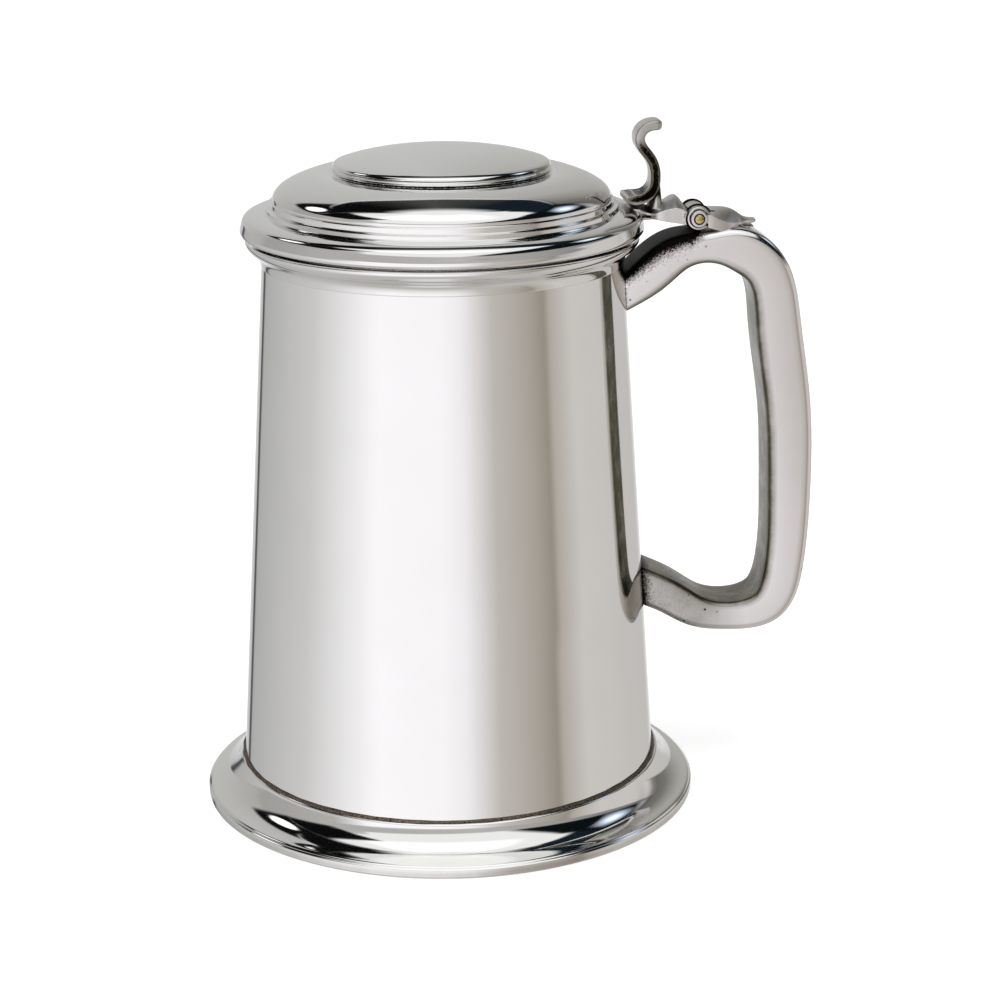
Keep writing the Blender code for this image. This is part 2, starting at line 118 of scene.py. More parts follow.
def turned(name, profile, material, closed=True, stains_and_shade=(), blooms_and_shade=(), facing=0.0, wander=0.0,
           shift=0.0, tilt=0.0):
    """Surface of revolution: x = r cos a, y = r sin a for every row of the profile, which runs
    down the outside. A row on the axis is one point. Each stain or bloom spot is a radius, a
    height, a reach and an amount, and fades with the square of the distance; besides real stains
    and bloom, some spots are painted shade, placed where each piece says so. Facing is the share
    of a spot that only the front shows. Wander moves the rings by sine waves of 5, 17 and 43 to
    the turn, shift moves them along X, and tilt lowers the front by that share of the distance
    from the axis."""
    r, z = profile[:, :1], profile[:, 1:]
    a = np.linspace(0.0, 2 * np.pi, COLUMNS, endpoint=False)[None]
    drift = wander * (np.sin(5 * a) + np.sin(17 * a + 1.0) + np.sin(43 * a + 2.0)) / 3
    r = np.maximum(r + np.where(r > ON_AXIS, drift, 0.0), 0.0)
    grid = np.stack((AXIS_X + shift + r * np.cos(a), r * np.sin(a),
                     z + tilt * r * np.sin(a)), axis=-1)
    ring = profile[:, 0] > ON_AXIS
    width = np.where(ring, COLUMNS, 1)
    first = np.concatenate(([0], np.cumsum(width)[:-1]))
    ids = first[:, None] + np.where(ring[:, None], np.arange(COLUMNS), 0)
    kept = ring[:, None] | (np.arange(COLUMNS) == 0)
    upper = ids if closed else ids[:-1]
    lower = np.roll(ids, -1, axis=0) if closed else ids[1:]
    quads = np.stack((upper, lower, np.roll(lower, -1, 1), np.roll(upper, -1, 1)), axis=-1)
    quads = quads.reshape(-1, 4)
    top_pole = quads[:, 0] == quads[:, 3]
    low_pole = quads[:, 1] == quads[:, 2]
    faces = quads[~top_pole & ~low_pole].tolist()
    faces += quads[top_pole][:, :3].tolist() + quads[low_pole][:, [0, 1, 3]].tolist()
    piece = make(name, grid[kept], faces, material)
    for layer, spots, front in (("stain_and_shade", stains_and_shade, facing), ("bloom_and_shade", blooms_and_shade, 0.0)):
        value = np.zeros((len(profile), 1))
        for radius, height, reach, amount in spots:
            away = np.hypot(profile[:, :1] - radius, profile[:, 1:] - height) / reach
            value = np.maximum(value, amount * np.exp(-away ** 2))
        paint(piece, layer, (value * (1 - front + front * np.clip(-1.5 * np.sin(a), 0, 1)))[kept])
    return piece


def linear(colour):
    """Linear RGBA from an sRGB hex value."""
    value = np.array([int(colour[k:k + 2], 16) for k in (1, 3, 5)]) / 255
    value = np.where(value <= 0.04045, value / 12.92, ((value + 0.055) / 1.055) ** 2.4)
    return (*value.tolist(), 1.0)


def add(tree, kind, links=(), **settings):
    """Add one shader node. Settings are its own values; links gives inputs a socket or a value."""
    node = tree.nodes.new("ShaderNode" + kind)
    for key, value in settings.items():
        setattr(node, key, value)
    for key, value in dict(links).items():
        if isinstance(value, bpy.types.NodeSocket):
            tree.links.new(value, node.inputs[key])
        else:
            node.inputs[key].default_value = value
    return node


CLOUD_SIZE = 16.0
SMEAR_SIZE = 5.0
PIT_SPACING = 1.9
OXIDE_DEPTH = 0.02
BLOOM_AND_SHADE_COLOUR = "#6a6757"
BLOOM_ROUGHNESS = 0.3
OXIDE_AND_SHADE_EDGE_COLOUR = "#6b5d4c"
OXIDE_AND_SHADE_COLOUR = "#100e0c"
OXIDE_ROUGHNESS = 0.55


def pewter(name, bright, dull, rough, smudge, grain=0.6, pitted=0.0, swell=0.004, tooth=0.0):
    """Pewter, an alloy of tin: a soft grey metal. Broad smudges of handling change its gloss, a
    slow swell in the polish bends reflections a little, olive bloom dulls what nobody polishes, and
    oxide, brown at its edges and black inside, sits where the metal is stained. The same olive and
    oxide colours also paint shade and dark reflections where a piece marks them in those layers.
    Grain is the width of a crumb of oxide or of a casting's grain, swell and tooth are the heights
    of the polish's waves and of that grain, all in millimetres; pitted lets round pits into stained
    and shaded places."""
    material = bpy.data.materials.new(name)
    material.use_nodes = True
    tree = material.node_tree
    shader = tree.nodes["Principled BSDF"]
    place = add(tree, "TexCoord").outputs["Object"]
    cloud = add(tree, "TexNoise", {"Vector": place, "Scale": 1 / (CLOUD_SIZE * MM),
                                   "Detail": 3.0})
    smear = add(tree, "TexNoise", {"Vector": place, "Scale": 1 / (SMEAR_SIZE * MM),
                                   "Detail": 5.0, "Roughness": 0.65})
    crumb = add(tree, "TexNoise", {"Vector": place, "Scale": 1 / (grain * MM),
                                   "Detail": 4.0, "Roughness": 0.7})
    colour = add(tree, "Mix", {0: cloud.outputs["Fac"], 6: linear(bright), 7: linear(dull)},
                 data_type="RGBA")
    bloom_and_shade = add(tree, "Attribute", attribute_name="bloom_and_shade").outputs["Fac"]
    patchy = add(tree, "Math", {0: smear.outputs["Fac"], 1: 0.5}, operation="ADD")
    veil = add(tree, "Math", {0: bloom_and_shade, 1: patchy.outputs[0]}, operation="MULTIPLY", use_clamp=True)
    colour = add(tree, "Mix", {0: veil.outputs[0], 6: colour.outputs[2], 7: linear(BLOOM_AND_SHADE_COLOUR)},
                 data_type="RGBA")
    stain_and_shade = add(tree, "Attribute", attribute_name="stain_and_shade").outputs["Fac"]
    broken = add(tree, "Math", {0: crumb.outputs["Fac"], 1: 0.9, 2: stain_and_shade},
                 operation="MULTIPLY_ADD")
    oxide = add(tree, "MapRange", {"Value": broken.outputs[0], "From Min": 0.9, "From Max": 1.16})
    blemish_and_shade = oxide.outputs[0]
    if pitted:
        pit = add(tree, "TexVoronoi", {"Vector": place, "Scale": 1 / (PIT_SPACING * MM),
                                       "Randomness": 1.0})
        small = add(tree, "MapRange", {"Value": pit.outputs["Distance"], "From Min": 0.10,
                                       "From Max": 0.20, "To Min": 1.0, "To Max": 0.0})
        rare = add(tree, "MapRange", {"Value": smear.outputs["Fac"], "From Min": 0.56 - pitted,
                                      "From Max": 0.62 - pitted})
        near = add(tree, "MapRange", {"Value": stain_and_shade, "From Min": 0.05, "From Max": 0.25})
        pits = add(tree, "Math", {0: small.outputs[0], 1: rare.outputs[0]}, operation="MULTIPLY")
        pits = add(tree, "Math", {0: pits.outputs[0], 1: near.outputs[0]}, operation="MULTIPLY")
        worse = add(tree, "Math", {0: pits.outputs[0], 1: blemish_and_shade}, operation="MAXIMUM")
        blemish_and_shade = worse.outputs[0]
    # The oxide colours also paint shade, where a piece puts painted shade into its stain layer.
    oxide = add(tree, "Mix", {0: blemish_and_shade, 6: linear(OXIDE_AND_SHADE_EDGE_COLOUR), 7: linear(OXIDE_AND_SHADE_COLOUR)},
                data_type="RGBA")
    oxidised_and_shaded = add(tree, "Mix", {0: blemish_and_shade, 6: colour.outputs[2], 7: oxide.outputs[2]},
                   data_type="RGBA")
    gloss = add(tree, "MapRange", {"Value": smear.outputs["Fac"], "From Min": 0.3, "From Max": 0.75,
                                   "To Min": rough, "To Max": rough + smudge})
    hazy = add(tree, "Mix", {0: veil.outputs[0], 2: gloss.outputs[0], 3: BLOOM_ROUGHNESS})
    dulled = add(tree, "Mix", {0: blemish_and_shade, 2: hazy.outputs[0], 3: OXIDE_ROUGHNESS})
    grit = add(tree, "Math", {0: crumb.outputs["Fac"], 1: tooth / swell, 2: cloud.outputs["Fac"]},
               operation="MULTIPLY_ADD")
    height = add(tree, "Math", {0: blemish_and_shade, 1: -OXIDE_DEPTH / swell, 2: grit.outputs[0]},
                 operation="MULTIPLY_ADD")
    bump = add(tree, "Bump", {"Height": height.outputs[0], "Strength": 1.0, "Distance": swell * MM})
    tree.links.new(oxidised_and_shaded.outputs[2], shader.inputs["Base Color"])
    tree.links.new(dulled.outputs[0], shader.inputs["Roughness"])
    tree.links.new(bump.outputs[0], shader.inputs["Normal"])
    shader.inputs["Metallic"].default_value = 1.0
    return material


polished = pewter("polished_pewter", "#ededec", "#e7e7e5", rough=0.045, smudge=0.03)
profile = outline([
    (drum_radius(DRUM_TOP_Z), DRUM_TOP_Z, 0.15),
    (drum_radius(DRUM_BOTTOM_Z), DRUM_BOTTOM_Z, 0.2),
    (drum_radius(DRUM_BOTTOM_Z) - DRUM_WALL, DRUM_BOTTOM_Z, 0.2),
    (drum_radius(DRUM_TOP_Z) - DRUM_WALL, DRUM_TOP_Z, 0.1),
])
drum = turned("drum_wall", profile, polished, stains_and_shade=[
    (DRUM_SEAM_RADIUS, SEAM_Z, 0.35, 0.62),
    (DRUM_TOP_RADIUS, DRUM_TOP_Z, 0.1, 0.3),
])
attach(drum, "tankard")
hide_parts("drum")

# Floor of the drum: a disc of sheet let into the lower end and soldered there. Nobody polishes it,
# so it keeps the dull bloom of turned pewter.
dull = pewter("turned_pewter", "#cbc9c4", "#bdbab4", rough=0.22, smudge=0.12)
floor_low, floor_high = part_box("base_disc")
floor_radius = (floor_high.x - floor_low.x) / 2 / MM
profile = outline([
    (0.0, floor_high.z / MM, 0.0),
    (floor_radius, floor_high.z / MM, 0.3),
    (floor_radius, floor_low.z / MM, 0.3),
    (0.0, floor_low.z / MM, 0.0),
])
base_disc = turned("drum_floor", profile, dull, closed=False,
                   stains_and_shade=[(floor_radius, floor_high.z / MM, 1.0, 1.0)])
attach(base_disc, "tankard")
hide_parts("base_disc")

# Foot: a hollow ring cast in pewter and turned to a cove that sweeps out from a narrow collar to a
# plain edge at the table. It is polished like the drum, and its collar carries the solder.
FOOT_RADIUS = (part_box("foot_ring")[1].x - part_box("foot_ring")[0].x) / 2 / MM
COLLAR_RADIUS = DRUM_SEAM_RADIUS + 0.9
FOOT_EDGE = 2.0
FOOT_SHIFT = 0.25
RING_WIDTH = 3.3
SHOULDER_RADIUS = FOOT_RADIUS - 0.3
SOLDER_GAP = 0.15
# The cove drops steeply from the collar, levels off as an exponential and turns down at its edge.
share = np.linspace(0.02, 1.0, 130)
cove = np.column_stack((
    COLLAR_RADIUS + share * (SHOULDER_RADIUS - COLLAR_RADIUS),
    SEAM_Z - (SEAM_Z - FOOT_EDGE) * (0.06 + 0.88 * (1 - np.exp(-share / 0.34)) + 0.03 * share
                                     + 0.07 * share ** 30),
))
collar = outline([
    (DRUM_SEAM_RADIUS + SOLDER_GAP, SEAM_Z, 0.0),
    (COLLAR_RADIUS - 0.05, SEAM_Z - 0.05, 0.45),
    (cove[0, 0], cove[0, 1], 0.0),
], step=0.3)
under = outline([
    (SHOULDER_RADIUS, cove[-1, 1], 0.0),
    (FOOT_RADIUS, FOOT_EDGE - 0.15, 0.18),
    (FOOT_RADIUS, 0.0, 0.5),
    (FOOT_RADIUS - RING_WIDTH, 0.0, 0.25),
    (FOOT_RADIUS - RING_WIDTH, FOOT_EDGE, 0.2),
    (FOOT_RADIUS - 5.3, 2.2, 0.4),
    (drum_radius(DRUM_BOTTOM_Z) + SOLDER_GAP, DRUM_BOTTOM_Z, 0.0),
    (drum_radius(SEAM_Z) + SOLDER_GAP, SEAM_Z - 0.2, 0.0),
], step=0.3)
profile = np.vstack((collar[:-1], cove, under[1:]))
# The solder darkens the collar; the outer edge and the band at the table are painted shade, the
# shadowed table that they mirror.
foot = turned("foot", profile, polished, shift=FOOT_SHIFT, stains_and_shade=[
    (DRUM_SEAM_RADIUS + 0.2, SEAM_Z, 0.45, 0.7),
    (FOOT_RADIUS, FOOT_EDGE - 0.1, 0.15, 0.3),
], blooms_and_shade=[(FOOT_RADIUS, 0.8, 0.8, 0.3)])
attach(foot, "tankard")
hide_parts("foot_ring")

# Solder seam: the bead of solder in the corner between foot and drum. It was left rough, and polish
# and grime have blackened it into a broken dark line.
seam_metal = pewter("blackened_solder", "#a89d8e", "#4a423a", rough=0.4, smudge=0.2, grain=0.35)
BEAD_RADIUS = 0.36
BEAD_WANDER = 0.18
BEAD_X = DRUM_SEAM_RADIUS + 0.2
BEAD_Z = SEAM_Z + 0.1
turn = np.linspace(0.0, -2 * np.pi, 14, endpoint=False)
profile = np.column_stack((BEAD_X + BEAD_RADIUS * np.cos(turn),
                           BEAD_Z + BEAD_RADIUS * np.sin(turn)))
seam = turned("solder_seam", profile, seam_metal, wander=BEAD_WANDER,
              stains_and_shade=[(BEAD_X, SEAM_Z, 0.9, 0.72)])
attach(seam, "tankard")

# Lip: a flared ring soldered on the drum's upper edge, where a fine dark join line stays. It is
# turned to a hollow curve with a thick rolled edge, and its flat top carries the lid.
LIP_Z = 121.1
LIP_TOP_RADIUS = 40.3


def spline(points, count):
    """Natural cubic spline through rows of numbers, spaced by the chords of the first two: the
    second derivatives solve a tridiagonal system, and each span is the cubic between its ends."""
    rows = np.array(points, float)
    chords = np.linalg.norm(np.diff(rows[:, :2], axis=0), axis=1)
    knots = np.concatenate(([0.0], np.cumsum(chords)))
    inner = np.arange(1, len(rows) - 1)
    system = np.eye(len(rows))
    system[inner, inner - 1] = chords[:-1]
    system[inner, inner] = 2 * (chords[:-1] + chords[1:])
    system[inner, inner + 1] = chords[1:]
    jump = np.zeros_like(rows)
    jump[1:-1] = 6 * np.diff(np.diff(rows, axis=0) / chords[:, None], axis=0)
    bend = np.linalg.solve(system, jump)
    t = np.linspace(0.0, knots[-1], count)
    span = np.clip(np.searchsorted(knots, t, side="right") - 1, 0, len(chords) - 1)
    a = ((knots[span + 1] - t) / chords[span])[:, None]
    b = 1 - a
    bow = chords[span, None] ** 2 / 6
    return (a * rows[span] + b * rows[span + 1]
            + bow * ((a ** 3 - a) * bend[span] + (b ** 3 - b) * bend[span + 1]))


flare = spline([(40.55, LIP_Z), (40.78, 120.85), (40.72, 120.2), (40.3, 119.5), (39.65, 118.85),
                (38.95, 118.4), (38.4, 117.85), (38.05, 117.15), (37.85, 116.5),
                (DRUM_TOP_RADIUS + 0.1, DRUM_TOP_Z + 0.15)], 70)
under = outline([
    (DRUM_TOP_RADIUS + 0.05, DRUM_TOP_Z + 0.02, 0.05),
    (DRUM_TOP_RADIUS - DRUM_WALL, DRUM_TOP_Z + 0.02, 0.1),
    (DRUM_TOP_RADIUS - DRUM_WALL, LIP_Z, 0.5),
    (LIP_TOP_RADIUS, LIP_Z, 0.1),
])
# The join line is a real stain; the top under the lid's flange is painted darker as shade.
rim = turned("lip", np.vstack((flare, under)), polished, stains_and_shade=[
    (DRUM_TOP_RADIUS, DRUM_TOP_Z, 0.16, 0.52),
    (LIP_TOP_RADIUS, LIP_Z, 0.5, 0.35),
])
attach(rim, "tankard")
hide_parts("rim_band")

# Handle: a loop cast in one piece and soldered to the drum at both ends. Its faces are filed and
# polished flat with rounded edges, but pits and black solder stains stay on both arms.
PIN = np.array(frame["joints"][0]["pos_m"]) / MM
PIN_X = PIN[0] - AXIS_X
PIN_Z = PIN[2]
HANDLE_TOP_Z = PIN_Z - 2.8
HANDLE_HEIGHT = 87.2
HANDLE_WIDTH = 13.0
ARM_THICKNESS = 6.2
GRIP_THICKNESS = 9.0
GRIP_X = PIN_X + 20.5
HANDLE_CROWN = 0.1
HANDLE_EDGE_OUT = 1.7
HANDLE_EDGE_IN = 1.1
HANDLE_GAP = 0.05
LOW_ARM_Z = 62.0
LOW_ARM_FADE = 12.0
# Stations of the handle: share of the way from drum to grip, share of the height, share of the
# grip's extra thickness.
HANDLE_STATIONS = (
    (0.00, 0.884, 0.15), (0.14, 0.929, 0.66), (0.31, 0.983, 0.46), (0.48, 0.998, 0.12),
    (0.67, 0.990, 1.05), (0.814, 0.946, 1.08), (0.908, 0.796, 1.22), (0.981, 0.564, 1.26),
    (1.000, 0.338, 1.12), (0.979, 0.141, 0.86), (0.87, 0.027, 0.66), (0.57, 0.000, 0.10),
    (0.35, 0.016, 0.33), (0.18, 0.055, 0.52), (0.00, 0.089, 0.60),
)


def bar(path, half_width, half_thick, edge_out, edge_in, crown):
    """Points of a bar along a path of x, z rows: a rectangle with round edges, wide along Y and
    thick along the path's left normal, whose faces bulge by the crown. Rows run along the path.
    Also gives each point's depth, from 1 on the outer face to -1 on the inner one."""
    along = np.gradient(path, axis=0)
    along /= np.linalg.norm(along, axis=1)[:, None]
    normal = np.column_stack((-along[:, 1], along[:, 0]))
    arc = np.linspace(0.0, np.pi / 2, 8)
    flat = np.linspace(-1.0, 1.0, 9)[1:-1]
    cos, sin = np.cos(arc), np.sin(arc)
    bend, run = np.ones_like(arc), np.ones_like(flat)
    side_y = np.concatenate([bend, -flat, -bend, -run, -bend, flat, bend, run])
    side_n = np.concatenate([bend, run, bend, -flat, -bend, -run, -bend, flat])
    round_y = np.concatenate([cos, 0 * run, -sin, -run, -cos, 0 * run, sin, run])
    round_n = np.concatenate([sin, run, cos, 0 * run, -sin, -run, -cos, 0 * run])
    wide = np.broadcast_to(np.asarray(half_width, float), len(path))[:, None]
    thick = np.broadcast_to(np.asarray(half_thick, float), len(path))[:, None]
    edge = np.where(side_n >= 0, edge_out, edge_in)[None]
    y = side_y * (wide - edge) + round_y * edge
    n = side_n * (thick - edge) + round_n * edge
    swollen_y = y * (1 + crown / wide * (1 - np.clip(n / thick, -1, 1) ** 2))
    swollen_n = n * (1 + crown / thick * (1 - np.clip(y / wide, -1, 1) ** 2))
    grid = np.stack((path[:, :1] + normal[:, :1] * swollen_n, swollen_y,
                     path[:, 1:2] + normal[:, 1:2] * swollen_n), axis=-1)
    return grid, n / thick


def skinned(name, grid, material, sharp=35):
    """Closed skin over a grid of points: rows along the piece, columns round it, ends capped."""
    rows, columns = grid.shape[:2]
    ids = np.arange(rows * columns).reshape(rows, columns)
    side = np.roll(ids, -1, axis=1)
    quads = np.stack((ids[:-1], ids[1:], side[1:], side[:-1]), axis=-1).reshape(-1, 4)
    faces = quads.tolist() + [ids[0].tolist(), ids[-1, ::-1].tolist()]
    return make(name, grid.reshape(-1, 3), faces, material, sharp)


def seated(grid, rows):
    """Begin each line along a bar where it leaves the drum: the crossing lies between its last
    point inside and its first outside, and the first rows are spread evenly from there outwards."""
    column = np.arange(grid.shape[1])
    away = np.hypot(grid[:rows, :, 0], grid[:rows, :, 1])
    away = away - drum_radius(grid[:rows, :, 2]) - HANDLE_GAP
    last = (away < 0).sum(axis=0) - 1
    start = last + away[last, column] / (away[last, column] - away[last + 1, column])
    place = start + (rows - 1 - start) * np.linspace(0.0, 1.0, rows)[:, None]
    low = np.minimum(place.astype(int), rows - 2)
    part = (place - low)[..., None]
    grid[:rows] = grid[low, column] * (1 - part) + grid[low + 1, column] * part


station = np.array(HANDLE_STATIONS)
upper_z = HANDLE_TOP_Z - ARM_THICKNESS / 2
lower_z = HANDLE_TOP_Z - HANDLE_HEIGHT + ARM_THICKNESS / 2
station_z = lower_z + station[:, 1] * (upper_z - lower_z)
station_x = drum_radius(station_z) + station[:, 0] * (GRIP_X - drum_radius(station_z))
station_thick = ARM_THICKNESS + station[:, 2] * (GRIP_THICKNESS - ARM_THICKNESS)
course = spline(np.column_stack((station_x, station_z, station_thick)), 260)
# Both ends run on into the drum along their tangents, and are then cut to sit on it.
SUNK_ROWS = 12
further = np.arange(SUNK_ROWS, 0, -1)[:, None]
course = np.vstack((course[0] + further * (course[0] - course[1]), course,
                    course[-1] + further[::-1] * (course[-1] - course[-2])))
grid, depth = bar(course[:, :2], HANDLE_WIDTH / 2 - HANDLE_CROWN,
                  course[:, 2] / 2 - HANDLE_CROWN / 2,
                  HANDLE_EDGE_OUT, HANDLE_EDGE_IN, HANDLE_CROWN)
seated(grid, 2 * SUNK_ROWS)
seated(grid[::-1], 2 * SUNK_ROWS)
handle_metal = pewter("filed_pewter", "#eceaea", "#e2e0df", rough=0.12, smudge=0.07, grain=0.3,
                      pitted=0.08)
# Both arms are stained near the drum, the lower one further out, and the upper one is painted
# blackest on top as the shadow under the hinge. Reach is the distance from the drum.
reach = np.hypot(grid[..., 0], grid[..., 1]) - drum_radius(grid[..., 2])
low_arm = np.clip((LOW_ARM_Z - grid[..., 2]) / LOW_ARM_FADE, 0, 1)
outer = np.clip((depth - 0.55) / 0.4, 0, 1)
inner = np.clip((-depth - 0.6) / 0.3, 0, 1)
stain_and_shade = np.exp(-reach / (0.8 + 2.9 * low_arm)) * (0.62 + 0.16 * low_arm)
stain_and_shade = np.maximum(stain_and_shade, (0.22 + 0.17 * low_arm) * np.clip((20 - reach) / 10, 0, 1))
stain_and_shade = np.maximum(stain_and_shade, 0.3 * low_arm * outer)
hinge_shadow_top = (0.26 + 0.1 * np.clip((reach - 4) / 5, 0, 1)
             + 0.66 * np.clip((depth + 0.5) / 1.4, 0, 1) ** 2.2)
stain_and_shade = np.maximum(stain_and_shade, (1 - low_arm) * np.clip((21 - reach) / 7, 0, 1) * hinge_shadow_top)
grid[..., 0] += AXIS_X
handle = skinned("handle_loop", grid, handle_metal)
paint(handle, "stain_and_shade", stain_and_shade)
# The inner face is painted olive and dull, as the dark it mirrors; near the drum the lower arm is
# dulled too.
bloom_and_shade = np.maximum(inner * 0.95, 0.55 * low_arm * np.clip((22 - reach) / 10, 0, 1))
paint(handle, "bloom_and_shade", bloom_and_shade)
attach(handle, "tankard")
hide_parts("handle")

# Hinge bracket: a small leaf cast with two knuckles and soldered on top of the handle. It is left
# nearly as cast, with soft corners, and its hollows are darkened by tarnish and by painted shade.
KNUCKLE_RADIUS = 2.5
BOSS_RADIUS = 1.8
BOSS_HEIGHT = 0.9
HINGE_HALF = 6.2
MIDDLE_HALF = 2.9
HINGE_PLAY = 0.3
BRACKET_REACH = 12.6
KNUCKLE_BEVEL = 0.2
CAST_VOXEL = 0.13
CAST_BLUR = 8


def round_pin(rows, columns):
    """Grid round the pin's axis: x = r cos a, z = r sin a for every row of radius r and place y."""
    a = np.linspace(0.0, 2 * np.pi, columns, endpoint=False)[None]
    return np.stack((PIN_X + rows[:, :1] * np.cos(a), rows[:, 1:] + 0 * a,
                     PIN_Z + rows[:, :1] * np.sin(a)), axis=-1)


def knuckle(y_from, y_to, radius):
    """Grid of a barrel round the pin: circles at stations along Y, a little narrower at the ends,
    where smaller circles close it."""
    return round_pin(np.array([
        (0.15 * radius, y_from), (0.92 * radius, y_from), (radius, y_from + KNUCKLE_BEVEL),
        (radius, y_to - KNUCKLE_BEVEL), (0.92 * radius, y_to), (0.15 * radius, y_to),
    ]), 48)


def leaf(stations, count):
    """Grid of a leaf along X: rows of place, half width, underside, side and ridge, joined by a
    spline. Each section goes over the roof from side to side and back along the underside; the
    roof falls from the ridge by a power, 1.7, of the distance from the middle."""
    rows = spline(stations, count)
    x, wide, low, side, ridge = (rows[:, k:k + 1] for k in range(5))
    s = np.linspace(-1.0, 1.0, 25)[None]
    roof = side + (ridge - side) * (1 - np.abs(s) ** 1.7)
    upper = np.stack((x + 0 * s, wide * s, roof), axis=-1)
    lower = np.stack((x + 0 * s, -wide * s, low + 0 * s), axis=-1)
    return np.concatenate((upper, lower), axis=1)


def vertex_places(mesh):
    """Points of a mesh as rows of x, y and z in millimetres."""
    point = np.empty(len(mesh.vertices) * 3)
    mesh.vertices.foreach_get("co", point)
    return point.reshape(-1, 3) / MM


def cast(name, grids, material, voxel, swing=None):
    """Fuse closed shells into one casting with soft corners: voxel remesh, then smoothing. Swing
    gives the width and radius round the pin that the other leaf needs: points inside move out to
    that radius. Also gives the points, their normals and how hollow the casting is there, from how
    far the neighbours of a point rise above its own plane."""
    shells = [skinned(name, grid + (AXIS_X, 0, 0), material) for grid in grids]
    with bpy.context.temp_override(active_object=shells[0], selected_editable_objects=shells):
        bpy.ops.object.join()
    casting = shells[0]
    remesh = casting.modifiers.new("fuse", "REMESH")
    remesh.mode = "VOXEL"
    remesh.voxel_size = voxel * MM
    smooth = casting.modifiers.new("soften", "SMOOTH")
    smooth.factor = 0.5
    smooth.iterations = 4
    graph = bpy.context.evaluated_depsgraph_get()
    mesh = bpy.data.meshes.new_from_object(casting.evaluated_get(graph))
    raw = casting.data
    casting.modifiers.clear()
    casting.data = mesh
    bpy.data.meshes.remove(raw)
    point = vertex_places(mesh) - (AXIS_X, 0, 0)
    if swing:
        y_low, y_high, radius = swing
        away = point[:, [0, 2]] - (PIN_X, PIN_Z)
        short = np.linalg.norm(away, axis=1)
        inside = (np.abs(point[:, 1]) > y_low) & (np.abs(point[:, 1]) < y_high) & (short < radius)
        away *= np.where(inside, radius / np.maximum(short, 1e-6), 1.0)[:, None]
        point[:, [0, 2]] = away + (PIN_X, PIN_Z)
        mesh.vertices.foreach_set("co", ((point + (AXIS_X, 0, 0)) * MM).reshape(-1))
        mesh.update()
    mesh.shade_smooth()
    count = len(point)
    normal = np.empty(count * 3)
    mesh.vertex_normals.foreach_get("vector", normal)
    normal = normal.reshape(-1, 3)
    pair = np.empty(len(mesh.edges) * 2, int)
    mesh.edges.foreach_get("vertices", pair)
    i, j = pair.reshape(-1, 2).T
    both = np.concatenate((i, j))
    other = np.concatenate((j, i))
    degree = np.bincount(both, minlength=count)
    gap = point[other] - point[both]
    rise = (gap * normal[both]).sum(1) / np.maximum((gap ** 2).sum(1), 1e-9)
    hollow = np.bincount(both, rise, count) / degree
    for _ in range(CAST_BLUR):
        hollow = 0.5 * hollow + 0.5 * np.bincount(both, hollow[other], count) / degree
    return casting, point, normal, hollow


cast_metal = pewter("cast_pewter", "#e6e4e2", "#bfbcb9", rough=0.27, smudge=0.14, grain=0.45,
                    swell=0.012, tooth=0.04)
top_z = HANDLE_TOP_Z + 0.25
leaf_grid = leaf([
    (PIN_X + 1.8, 6.1, PIN_Z - 1.9, PIN_Z + 0.8, PIN_Z + 1.1),
    (PIN_X + 2.8, 6.1, PIN_Z - 2.1, PIN_Z + 0.7, PIN_Z + 1.45),
    (PIN_X + 4.4, 5.9, top_z, PIN_Z - 0.1, PIN_Z + 1.6),
    (PIN_X + 6.2, 5.4, top_z, PIN_Z - 0.8, PIN_Z + 1.5),
    (PIN_X + 7.6, 4.4, top_z + 0.1, PIN_Z - 1.2, PIN_Z + 1.1),
    (PIN_X + 8.8, 2.9, top_z + 0.5, PIN_Z - 1.3, PIN_Z + 0.4),
    (PIN_X + 10.2, 2.2, top_z + 0.7, PIN_Z - 1.3, PIN_Z - 0.5),
    (PIN_X + 11.6, 2.0, top_z + 0.8, PIN_Z - 1.2, PIN_Z - 0.8),
    (PIN_X + BRACKET_REACH, 1.7, top_z + 1.0, PIN_Z - 1.1, PIN_Z - 0.9),
], 70)
# A lower prong lies under the tail, with a slit between them that is painted dark as shade.
prong_grid = leaf([
    (PIN_X + 6.0, 3.8, top_z - 0.1, top_z + 0.5, top_z + 0.6),
    (PIN_X + 8.0, 3.1, top_z - 0.1, top_z + 0.3, top_z + 0.4),
    (PIN_X + 10.0, 2.5, top_z - 0.1, top_z + 0.2, top_z + 0.3),
    (PIN_X + 12.2, 2.0, top_z, top_z + 0.2, top_z + 0.3),
], 40)
slot_half = MIDDLE_HALF + HINGE_PLAY
bracket, point, normal, hollow = cast("hinge_leaf", [
    leaf_grid, prong_grid,
    knuckle(-HINGE_HALF + BOSS_HEIGHT, -slot_half, KNUCKLE_RADIUS),
    knuckle(slot_half, HINGE_HALF - BOSS_HEIGHT, KNUCKLE_RADIUS),
    knuckle(-HINGE_HALF, -slot_half, BOSS_RADIUS),
    knuckle(slot_half, HINGE_HALF, BOSS_RADIUS),
], cast_metal, CAST_VOXEL, swing=(0.0, slot_half, KNUCKLE_RADIUS + HINGE_PLAY))
